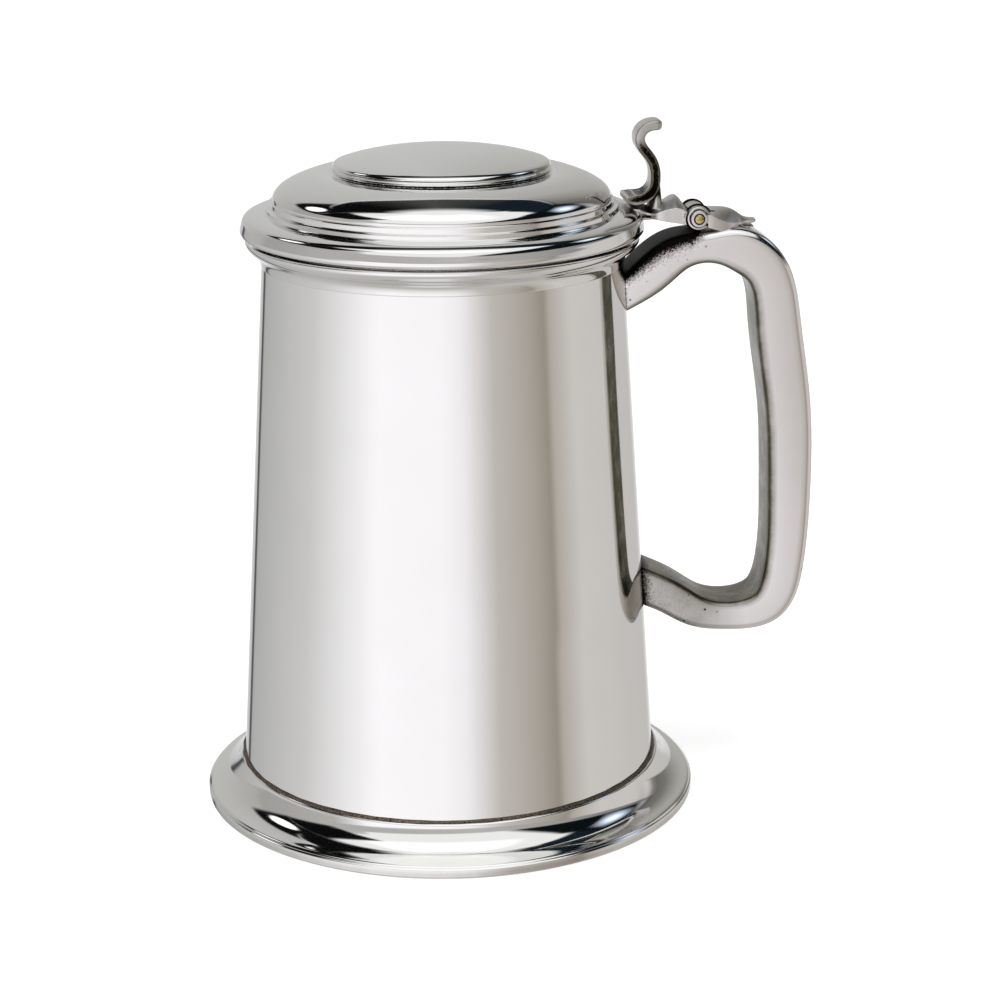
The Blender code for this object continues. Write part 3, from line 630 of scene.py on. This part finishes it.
# Painted shade, with some grime, darkens the hollows, the slot between the knuckles, the underside
# of the tail over the slit and the ring round the pin.
barrel = np.hypot(point[:, 0] - PIN_X, point[:, 2] - PIN_Z)
slit = np.exp(-((np.abs(point[:, 1]) - slot_half) / 0.5) ** 2)
slit = slit * np.clip((4.2 - barrel) / 0.8, 0, 1)
tail = np.clip((point[:, 0] - PIN_X - 6.5) / 1.5, 0, 1) * np.clip(0.4 - normal[:, 2], 0, 1)
bush = np.exp(-((barrel - 1.05) / 0.2) ** 2) * (np.abs(point[:, 1]) > HINGE_HALF - BOSS_HEIGHT)
stain_and_shade = 0.24 + 0.9 * hollow + 0.9 * slit + 0.7 * tail + 0.7 * bush
paint(bracket, "stain_and_shade", np.clip(stain_and_shade, 0.0, 1.2))
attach(bracket, "tankard")
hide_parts("hinge_bracket")

# Hinge pin: a brass wire through the knuckles, riveted over at both ends. Its worn ends glint
# yellow between specks of brown grime.
PIN_RADIUS = 0.95
PIN_HALF = 6.35
PIN_ROUNDING = 0.08
GRIME_SIZE = 0.7
brass = bpy.data.materials.new("worn_brass")
brass.use_nodes = True
tree = brass.node_tree
place = add(tree, "TexCoord").outputs["Object"]
grime = add(tree, "TexNoise", {"Vector": place, "Scale": 1 / (GRIME_SIZE * MM), "Detail": 4.0})
tone = add(tree, "ValToRGB", {0: grime.outputs["Fac"]})
tone.color_ramp.elements[0].position = 0.3
tone.color_ramp.elements[0].color = linear("#6f6038")
tone.color_ramp.elements[1].position = 0.55
tone.color_ramp.elements[1].color = linear("#d3c084")
shader = tree.nodes["Principled BSDF"]
tree.links.new(tone.outputs[0], shader.inputs["Base Color"])
shader.inputs["Metallic"].default_value = 1.0
shader.inputs["Roughness"].default_value = 0.32
rows = outline([
    (0.02, -PIN_HALF, 0.0),
    (PIN_RADIUS, -PIN_HALF + PIN_ROUNDING, 0.2),
    (PIN_RADIUS, PIN_HALF - PIN_ROUNDING, 0.2),
    (0.02, PIN_HALF, 0.0),
], step=0.6)
pin = skinned("hinge_rivet", round_pin(rows, 40) + (AXIS_X, 0, 0), brass)
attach(pin, "tankard")
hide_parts("hinge_pin")

# Lid: one turned shell with a raised crowned centre, a dome, two fine steps and a rolled flange.
# It is polished as bright as the drum; grime and painted shade darken its grooves and steps.
PLATE_EDGE = 21.4
PLATE_Z = 136.6
PLATE_CROWN = 2.5
LID_BASE_Z = 121.56
LID_TILT = 0.0087
r = np.linspace(0.0, PLATE_EDGE, 50)
crown = np.column_stack((r, PLATE_Z + PLATE_CROWN * (1 - (r / PLATE_EDGE) ** 2.8)))
roll = spline([(PLATE_EDGE, PLATE_Z), (21.85, 136.4), (22.2, 136.12), (22.42, 135.7)], 30)[1:]
groove = outline([(22.42, 135.7, 0.0), (22.34, 135.58, 0.05), (22.62, 135.42, 0.1),
                  (22.66, 135.1, 0.12), (22.45, 134.8, 0.1), (22.55, 134.35, 0.1),
                  (22.95, 134.25, 0.1), (23.3, 134.33, 0.1)], step=0.1)[1:]
dome = spline([(23.4, 134.33), (25.0, 134.28), (26.5, 134.12), (28.0, 133.8), (29.5, 133.33),
               (31.0, 132.75), (32.5, 131.98), (33.7, 131.15), (34.6, 130.12), (34.93, 129.4),
               (35.0, 128.8)], 110)
steps = outline([(35.0, 128.8, 0.0), (35.1, 128.6, 0.05), (35.4, 128.6, 0.12), (35.46, 127.5, 0.1),
                 (36.4, 127.3, 0.12), (36.52, 126.42, 0.12), (37.2, 126.3, 0.1)], step=0.2)
flange = spline([(37.2, 126.3), (38.3, 126.17), (39.2, 125.99), (40.0, 125.75), (40.63, 125.47),
                 (40.95, 125.23), (41.2, 124.91), (41.34, 124.6), (41.55, 123.85), (41.73, 123.15),
                 (41.8, 122.7), (41.7, 122.2), (41.4, 121.84), (40.95, 121.64), (40.3, LID_BASE_Z)],
                110)[1:]
inside = outline([
    (39.0, LID_BASE_Z, 0.3),
    (35.9, LID_BASE_Z, 0.2),
    (35.9, 123.6, 0.2),
    (33.4, 123.6, 0.3),
    (33.4, 127.5, 1.5),
    (30.0, 130.9, 3.0),
    (21.0, 133.4, 3.0),
    (0.0, 136.9, 0.0),
])
profile = np.vstack((crown, roll, groove, dome, steps[1:], flange, inside))
profile[:, 1] += LID_TILT * profile[:, 0]
# The underside of the flange is painted dark as the shadow in the gap over the lip, and the
# groove's black is partly painted shade.
lid = turned("lid_dome", profile, polished, closed=False, facing=0.75, tilt=LID_TILT, stains_and_shade=[
    (22.5, 134.75, 0.24, 1.0), (22.36, 135.77, 0.1, 0.8), (35.12, 128.9, 0.15, 0.35),
    (35.5, 127.45, 0.14, 0.5), (36.55, 126.4, 0.14, 0.5), (41.1, 121.7, 0.3, 0.8),
])
# Grime also gathers round the lug, where no cloth reaches, and shade is painted there too.
LUG_SEAT = (AXIS_X + 37.0, 0.0, 127.0)
GRIME_AND_SHADE_REACH = 12.0
GRIME_AND_SHADE_AMOUNT = 0.52
away = np.linalg.norm(vertex_places(lid.data) - LUG_SEAT, axis=1)
layer = lid.data.attributes["stain_and_shade"].data
stain_and_shade = np.empty(len(away), np.float32)
layer.foreach_get("value", stain_and_shade)
stain_and_shade = np.maximum(stain_and_shade, GRIME_AND_SHADE_AMOUNT * np.exp(-(away / GRIME_AND_SHADE_REACH) ** 2))
layer.foreach_set("value", stain_and_shade.astype(np.float32))
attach(lid, "lid")
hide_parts("lid_shell")

# Bezel: a plain ring of sheet soldered inside the flange, which drops into the mouth and keeps the
# lid centred. It is left dull from the turning.
bezel_low, bezel_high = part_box("lid_bezel")
bezel_radius = (bezel_high.x - bezel_low.x) / 2 / MM
BEZEL_WALL = 1.2
profile = outline([
    (bezel_radius, bezel_high.z / MM, 0.1),
    (bezel_radius, bezel_low.z / MM, 0.4),
    (bezel_radius - BEZEL_WALL, bezel_low.z / MM, 0.4),
    (bezel_radius - BEZEL_WALL, bezel_high.z / MM, 0.1),
])
bezel = turned("lid_ring", profile, dull, stains_and_shade=[(bezel_radius, LID_BASE_Z, 0.4, 0.8)])
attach(bezel, "lid")
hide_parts("lid_bezel")

# Lug: the cast arm that joins the lid to the hinge. It grips the flange, rises to a ridge and ends
# in the middle knuckle; its sides are filed pale and flat, its hollows are darkened by tarnish and
# painted shade.
lug_grid = leaf([
    (PIN_X - 14.2, 4.2, PIN_Z + 0.8, PIN_Z + 2.0, PIN_Z + 2.6),
    (PIN_X - 12.2, 4.4, PIN_Z - 0.2, PIN_Z + 1.9, PIN_Z + 2.7),
    (PIN_X - 10.4, 4.3, PIN_Z - 0.2, PIN_Z + 1.1, PIN_Z + 2.3),
    (PIN_X - 8.9, 5.3, PIN_Z - 0.05, PIN_Z + 1.3, PIN_Z + 2.3),
    (PIN_X - 7.6, 5.6, PIN_Z - 0.3, PIN_Z + 1.8, PIN_Z + 2.6),
    (PIN_X - 6.2, 5.6, PIN_Z - 0.6, PIN_Z + 2.1, PIN_Z + 3.5),
    (PIN_X - 4.8, 5.6, PIN_Z - 0.8, PIN_Z + 2.2, PIN_Z + 4.35),
    (PIN_X - 3.4, 5.6, PIN_Z - 1.1, PIN_Z + 2.0, PIN_Z + 3.5),
    (PIN_X - 2.6, 5.6, PIN_Z - 1.25, PIN_Z + 1.6, PIN_Z + 2.4),
    (PIN_X - 2.1, 5.5, PIN_Z - 1.3, PIN_Z + 1.2, PIN_Z + 1.7),
], 70)
lug, point, _, hollow = cast("lid_arm", [
    lug_grid,
    knuckle(-MIDDLE_HALF, MIDDLE_HALF, KNUCKLE_RADIUS),
], cast_metal, CAST_VOXEL, swing=(MIDDLE_HALF + 0.1, 9.0, KNUCKLE_RADIUS + HINGE_PLAY))
# Painted shade and grime darken the neck on the flange and the sides of the middle knuckle.
NECK_X = PIN_X - 8.2
neck = np.clip(NECK_X - point[:, 0], 0, 1)
barrel = np.hypot(point[:, 0] - PIN_X, point[:, 2] - PIN_Z)
slit = np.clip((3.4 - barrel) / 0.4, 0, 1)
slit = slit * np.clip((np.abs(point[:, 1]) - MIDDLE_HALF + 0.4) / 0.4, 0, 1)
paint(lug, "stain_and_shade", np.clip(0.26 + 1.1 * hollow + 0.4 * neck + 0.8 * slit, 0.0, 1.2))
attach(lug, "lid")
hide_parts("lid_lug")

# Thumbpiece: a strip cast with the lug, with a spread toe on the flange, an S-shaped stem and a
# curl at the tip. The sides of its stem are darker and olive.
THUMB_HEIGHT = 17.1
THUMB_LENGTH = 8.0
THUMB_THICK = 2.0
THUMB_WIDTH = 6.2
TOE_WIDTH = 11.2
TOE_X = 37.8
TOE_Z = 127.1
THUMB_EDGE = 0.35
THUMB_CROWN = 0.1
THUMB_VOXEL = 0.12
POST_TOP_Z = 131.5
STEM_LOW_Z = 127.5
STEM_HIGH_Z = 141.5
TIP_START = 0.955
TIP_SHARE = 0.05
# Stations of the thumbpiece: share of its length, share of its height, share of the toe's spread.
THUMB_STATIONS = (
    (0.00, 0.01, 1.00), (0.30, 0.00, 0.62), (0.56, 0.04, 0.25), (0.74, 0.15, 0.05),
    (0.79, 0.28, -0.10), (0.77, 0.41, -0.12), (0.66, 0.55, -0.08), (0.47, 0.68, -0.02),
    (0.37, 0.80, 0.00), (0.43, 0.92, 0.00), (0.62, 0.99, 0.00), (0.95, 1.00, 0.00),
)
station = np.array(THUMB_STATIONS)
course = spline(np.column_stack((
    TOE_X + station[:, 0] * THUMB_LENGTH,
    TOE_Z + THUMB_THICK / 2 + station[:, 1] * (THUMB_HEIGHT - THUMB_THICK),
    THUMB_WIDTH + station[:, 2] * (TOE_WIDTH - THUMB_WIDTH),
)), 160)
s = np.linspace(0.0, 1.0, len(course))
blunt = np.sqrt(np.clip(1 - np.clip((s - TIP_START) / TIP_SHARE, 0, 1) ** 2, 0.1, 1))
thin = np.clip(0.55 + s * 6, 0, 1) * blunt
strip, _ = bar(course[:, :2], course[:, 2] / 2 * (0.4 + 0.6 * blunt), THUMB_THICK / 2 * thin,
               THUMB_EDGE, THUMB_EDGE, THUMB_CROWN)
# The stem stands on a post that runs down to the lug: height, middle, half depth and half width.
post = spline([(126.0, 44.2, 1.7, 3.2), (127.6, 44.4, 1.3, 2.8), (129.4, 44.5, 1.0, 2.5),
               (POST_TOP_Z, 44.6, 0.7, 2.3)], 24)
a = np.linspace(0.0, 2 * np.pi, 40, endpoint=False)[None]
post = np.stack((post[:, 1:2] + post[:, 2:3] * np.cos(a), post[:, 3:4] * np.sin(a),
                 post[:, :1] + 0 * a), axis=-1)[::-1]
thumb, point, normal, hollow = cast("thumb_lever", [strip, post], cast_metal, THUMB_VOXEL)
# The sides of the stem, which face along the pin, are darker and olive, and the foot of the post
# is darker; the hollows are darkened by tarnish and painted shade.
side = np.clip((np.abs(normal[:, 1]) - 0.2) / 0.3, 0, 1)
stem = np.clip((STEM_HIGH_Z - point[:, 2]) / 3.0, 0.35, 1)
stem = stem * np.clip((point[:, 2] - STEM_LOW_Z) / 1.5, 0, 1)
low = np.clip((POST_TOP_Z - point[:, 2]) / 2.0, 0, 1)
paint(thumb, "stain_and_shade", np.clip(0.3 + 1.2 * hollow + 0.52 * side * stem + 0.3 * low, 0.0, 1.2))
paint(thumb, "bloom_and_shade", side * stem)
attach(thumb, "lid")
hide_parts("thumbpiece")

# Studio: a white table, and white, grey and black cards round the tankard that only mirrors see,
# as a metal photographer sets them. Azimuths run from the front (-Y) towards the handle (+X).
FLOOR_HALF = 6000.0
FLOOR_Z = -0.1
PAPER_COLOUR = "#e7e7e7"
sheet = bpy.data.materials.new("white_table")
sheet.use_nodes = True
tree = sheet.node_tree
tree.nodes.clear()
paper = add(tree, "BsdfDiffuse", {"Color": linear(PAPER_COLOUR)})
lifted = add(tree, "Emission", {"Color": linear("#ffffff"), "Strength": 0.6})
seen = add(tree, "AddShader", {0: paper.outputs[0], 1: lifted.outputs[0]})
add(tree, "OutputMaterial", {0: seen.outputs[0]})
corner = np.array([(-1, -1, 0), (1, -1, 0), (1, 1, 0), (-1, 1, 0)]) * FLOOR_HALF
table = make("table_top", corner + (0, 0, FLOOR_Z), [[0, 1, 2, 3]], sheet)
table.visible_glossy = False

CARD_DISTANCE = 1500.0
CARD_CENTRE = np.array((AXIS_X, 0.0, 70.0))
CARD_GRID = (33, 97)
OVAL_FADE = 0.2


def card(name, corners, tone, strength=1.0, nearer=0.0, soft=(0.0, 0.0), oval=False):
    """Curved card on a sphere round the tankard: azimuth and elevation run evenly between its four
    corners. Only mirror reflections see it. Its margins fade over soft shares of its width and
    height, or round an oval. Its tone is one colour, or pairs of azimuth and colour."""
    rows, columns = CARD_GRID
    u = np.linspace(0.0, 1.0, columns)[None, :, None]
    v = np.linspace(0.0, 1.0, rows)[:, None, None]
    a, b, c, d = np.radians(np.array(corners, float))
    angle = (a * (1 - u) + b * u) * (1 - v) + (d * (1 - u) + c * u) * v
    azimuth, rise = angle[..., 0], angle[..., 1]
    out = np.stack((np.cos(rise) * np.sin(azimuth), -np.cos(rise) * np.cos(azimuth),
                    np.sin(rise)), axis=-1)
    points = (CARD_CENTRE + out * (CARD_DISTANCE - nearer)).reshape(-1, 3)
    ids = np.arange(len(points)).reshape(rows, columns)
    quads = np.stack((ids[:-1, :-1], ids[:-1, 1:], ids[1:, 1:], ids[1:, :-1]), axis=-1)
    glow = bpy.data.materials.new(name)
    glow.use_nodes = True
    tree = glow.node_tree
    tree.nodes.clear()
    emission = add(tree, "Emission", {"Strength": strength})
    if isinstance(tone, str):
        emission.inputs["Color"].default_value = linear(tone)
    else:
        axes = add(tree, "SeparateXYZ", {0: add(tree, "TexCoord").outputs["Object"]})
        beside = add(tree, "Math", {0: axes.outputs["X"], 1: AXIS_X * MM}, operation="SUBTRACT")
        ahead = add(tree, "Math", {0: axes.outputs["Y"], 1: -1.0}, operation="MULTIPLY")
        turn = add(tree, "Math", {0: beside.outputs[0], 1: ahead.outputs[0]}, operation="ARCTAN2")
        dial = add(tree, "MapRange", {"Value": turn.outputs[0], "From Min": -np.pi,
                                      "From Max": np.pi})
        fan = add(tree, "ValToRGB", {0: dial.outputs[0]})
        while len(fan.color_ramp.elements) < len(tone):
            fan.color_ramp.elements.new(0.5)
        for element, (degrees, shade) in zip(fan.color_ramp.elements, tone):
            element.position = (degrees + 180) / 360
            element.color = linear(shade)
        tree.links.new(fan.outputs[0], emission.inputs["Color"])
    clear = add(tree, "BsdfTransparent")
    margin = add(tree, "Attribute", attribute_name="margin")
    faded = add(tree, "MixShader", {0: margin.outputs["Fac"], 1: clear.outputs[0],
                                    2: emission.outputs[0]})
    add(tree, "OutputMaterial", {0: faded.outputs[0]})
    obj = make(name, points, quads.reshape(-1, 4).tolist(), glow)
    fade = np.ones((rows, columns, 1))
    if oval:
        fade = np.clip((1 - np.hypot(2 * u - 1, 2 * v - 1)) / OVAL_FADE, 0.0, 1.0)
    elif any(soft):
        fade = np.minimum(np.minimum(u, 1 - u) / max(soft[0], 1e-3), 1.0)
        fade = fade * np.minimum(np.minimum(v, 1 - v) / max(soft[1], 1e-3), 1.0)
    paint(obj, "margin", fade[..., 0])
    obj.visible_camera = False
    obj.visible_diffuse = False
    obj.visible_shadow = False


TABLE_TONES = ((-180, "#fbfafc"), (-167, "#c6c5c7"), (-158, "#b4b4b4"), (-156, "#4a4a4a"),
               (-153, "#4a4a4a"), (-150, "#a7a7a7"), (-90, "#c7c6c6"), (-42, "#fbf9fc"),
               (-6, "#f8f6f9"), (6, "#eeecef"), (24, "#bdb8b3"), (48, "#a69f97"), (58, "#948d83"),
               (62, "#b0a9a2"), (78, "#c8c4c1"), (100, "#c5c1be"), (150, "#b9b7b5"),
               (172, "#f4f3f5"))
GAP_TONES = ((-70, "#b9b6b4"), (10, "#c4c1bf"), (40, "#b0aeac"), (80, "#8d8e90"), (126, "#606266"))
LOW_TONES = ((-152, "#a3a19e"), (-100, "#b0aeac"), (-50, "#c6c3c1"))
BACK_TONES = ((-180, "#cbcbca"), (-150, "#c2c1bf"), (-118, "#b4b3b1"), (118, "#5f5d57"),
              (138, "#7f7d77"), (156, "#b3b1ad"), (180, "#cbcbca"))
BEHIND_TONES = ((-180, "#4d4e49"), (-168, "#31322f"), (-152, "#0d0e0d"), (-84, "#0b0c0c"),
                (84, "#0c1214"), (150, "#15202a"), (168, "#3a3d39"), (180, "#4d4e49"))
card("table_mirrored", [(-180, -89), (180, -89), (180, 2), (-180, 2)], TABLE_TONES, 1.2)
# A darker sheet under the tankard is painted shade: it stands for the table's shadow in mirrors.
card("table_shadow_mirrored", [(-180, -89), (180, -89), (180, -34), (-180, -34)], "#c6c3c1",
     nearer=60, soft=(0.0, 0.4))
card("front_sheet", [(-66, -16), (126, -16), (126, 16.6), (-66, 16.6)], TABLE_TONES, 1.2,
     nearer=1000, soft=(0.1, 0.01))
card("front_gap", [(-72, 15.5), (126, 15.5), (126, 19), (-72, 27)], GAP_TONES,
     nearer=1000, soft=(0.08, 0.12))
card("backdrop", [(118, 0), (242, 0), (242, 50.5), (118, 50.5)], BACK_TONES,
     nearer=15, soft=(0.05, 0.015))
card("backdrop_edge", [(122, 48.8), (238, 48.8), (238, 50.4), (122, 50.4)], "#ffffff", 0.9,
     nearer=30, soft=(0.35, 0.4))
card("gap_behind", [(84, 34), (276, 34), (262, 79), (98, 79)], BEHIND_TONES,
     nearer=10, soft=(0.08, 0.2))
card("left_gap", [(-136, 26), (-98, 23), (-98, 57), (-158, 61)], "#0b0c0c",
     nearer=20, soft=(0.12, 0.1))
card("left_wedge", [(-104, 24), (-70, 27), (-44, 51), (-104, 57)], "#0b0c0c",
     nearer=20, soft=(0.1, 0.1))
card("left_spot", [(-128, 31), (-107, 30), (-107, 46), (-128, 47)], "#ffffff", 1.5,
     nearer=40, oval=True)
card("left_low", [(-152, 0), (-44, 0), (-50, 38), (-152, 36)], LOW_TONES,
     nearer=10, soft=(0.05, 0.05))
card("right_gap", [(-40, 0), (122, 0), (132, 53), (70, 51)], "#0c1214",
     nearer=20, soft=(0.12, 0.06))
card("right_top", [(74, 46), (162, 48), (152, 70), (92, 68)], "#16222a",
     nearer=20, soft=(0.1, 0.1))
card("right_window", [(86, 25), (118, 28), (116, 49), (88, 46)], "#dcebff", 1.7,
     nearer=40, soft=(0.42, 0.42))
card("overhead", [(-66, 47), (46, 47), (72, 85), (-86, 85)], "#ffffff", 1.25,
     nearer=5, soft=(0.1, 0.12))

# A large soft lamp overhead gives the table its faint shadow.
key = bpy.data.lights.new("soft_key", "AREA")
key.shape = "RECTANGLE"
key.size = 1.4
key.size_y = 1.1
key.energy = 16.0
key_lamp = bpy.data.objects.new("soft_key", key)
key_lamp.location = (-0.3, -0.5, 1.6)
key_lamp.rotation_euler = (np.radians(16), np.radians(-8), 0.0)
key_lamp.visible_glossy = False
bpy.context.collection.objects.link(key_lamp)

# The room lights the tankard softly, while the camera and the metal see it as plain white.
ROOM_LIGHT = 0.45
world = bpy.data.worlds.new("white_room")
bpy.context.scene.world = world
world.use_nodes = True
tree = world.node_tree
tree.nodes.clear()
light_path = add(tree, "LightPath")
shown = add(tree, "Math", {0: light_path.outputs["Is Camera Ray"],
                           1: light_path.outputs["Is Glossy Ray"]}, operation="MAXIMUM")
shown = add(tree, "Math", {0: shown.outputs[0], 1: light_path.outputs["Is Transmission Ray"]},
            operation="MAXIMUM")
strength = add(tree, "MapRange", {"Value": shown.outputs[0], "To Min": ROOM_LIGHT,
                                  "To Max": 1.0})
room = add(tree, "Background", {"Color": linear("#ffffff"), "Strength": strength.outputs[0]})
add(tree, "OutputWorld", {0: room.outputs[0]})

# Camera: a short telephoto, a little above the lid and to the left of the handle's square side.
CAMERA_LENS = 89.41
CAMERA_PLACE = np.array((AXIS_X - 32.87, -508.34, 213.3))
heading, pitch, roll = np.radians((5.001, 16.369, 0.374))
ahead = np.array((np.sin(heading), np.cos(heading), 0.0))
right = np.array((np.cos(heading), -np.sin(heading), 0.0))
view_line = np.cos(pitch) * ahead - np.sin(pitch) * np.array((0, 0, 1.0))
up = np.cross(right, view_line)
tilted_right = np.cos(roll) * right - np.sin(roll) * up
tilted_up = np.cos(roll) * up + np.sin(roll) * right
camera_data = bpy.data.cameras.new("camera")
camera_data.lens = CAMERA_LENS
camera_data.sensor_width = 36.0
camera = bpy.data.objects.new("camera", camera_data)
matrix = np.eye(4)
matrix[:3, :3] = np.column_stack((tilted_right, tilted_up, -view_line))
matrix[:3, 3] = CAMERA_PLACE * MM
camera.matrix_world = Matrix(matrix)
bpy.context.collection.objects.link(camera)
bpy.context.scene.camera = camera
bpy.context.scene.view_settings.view_transform = "Standard"
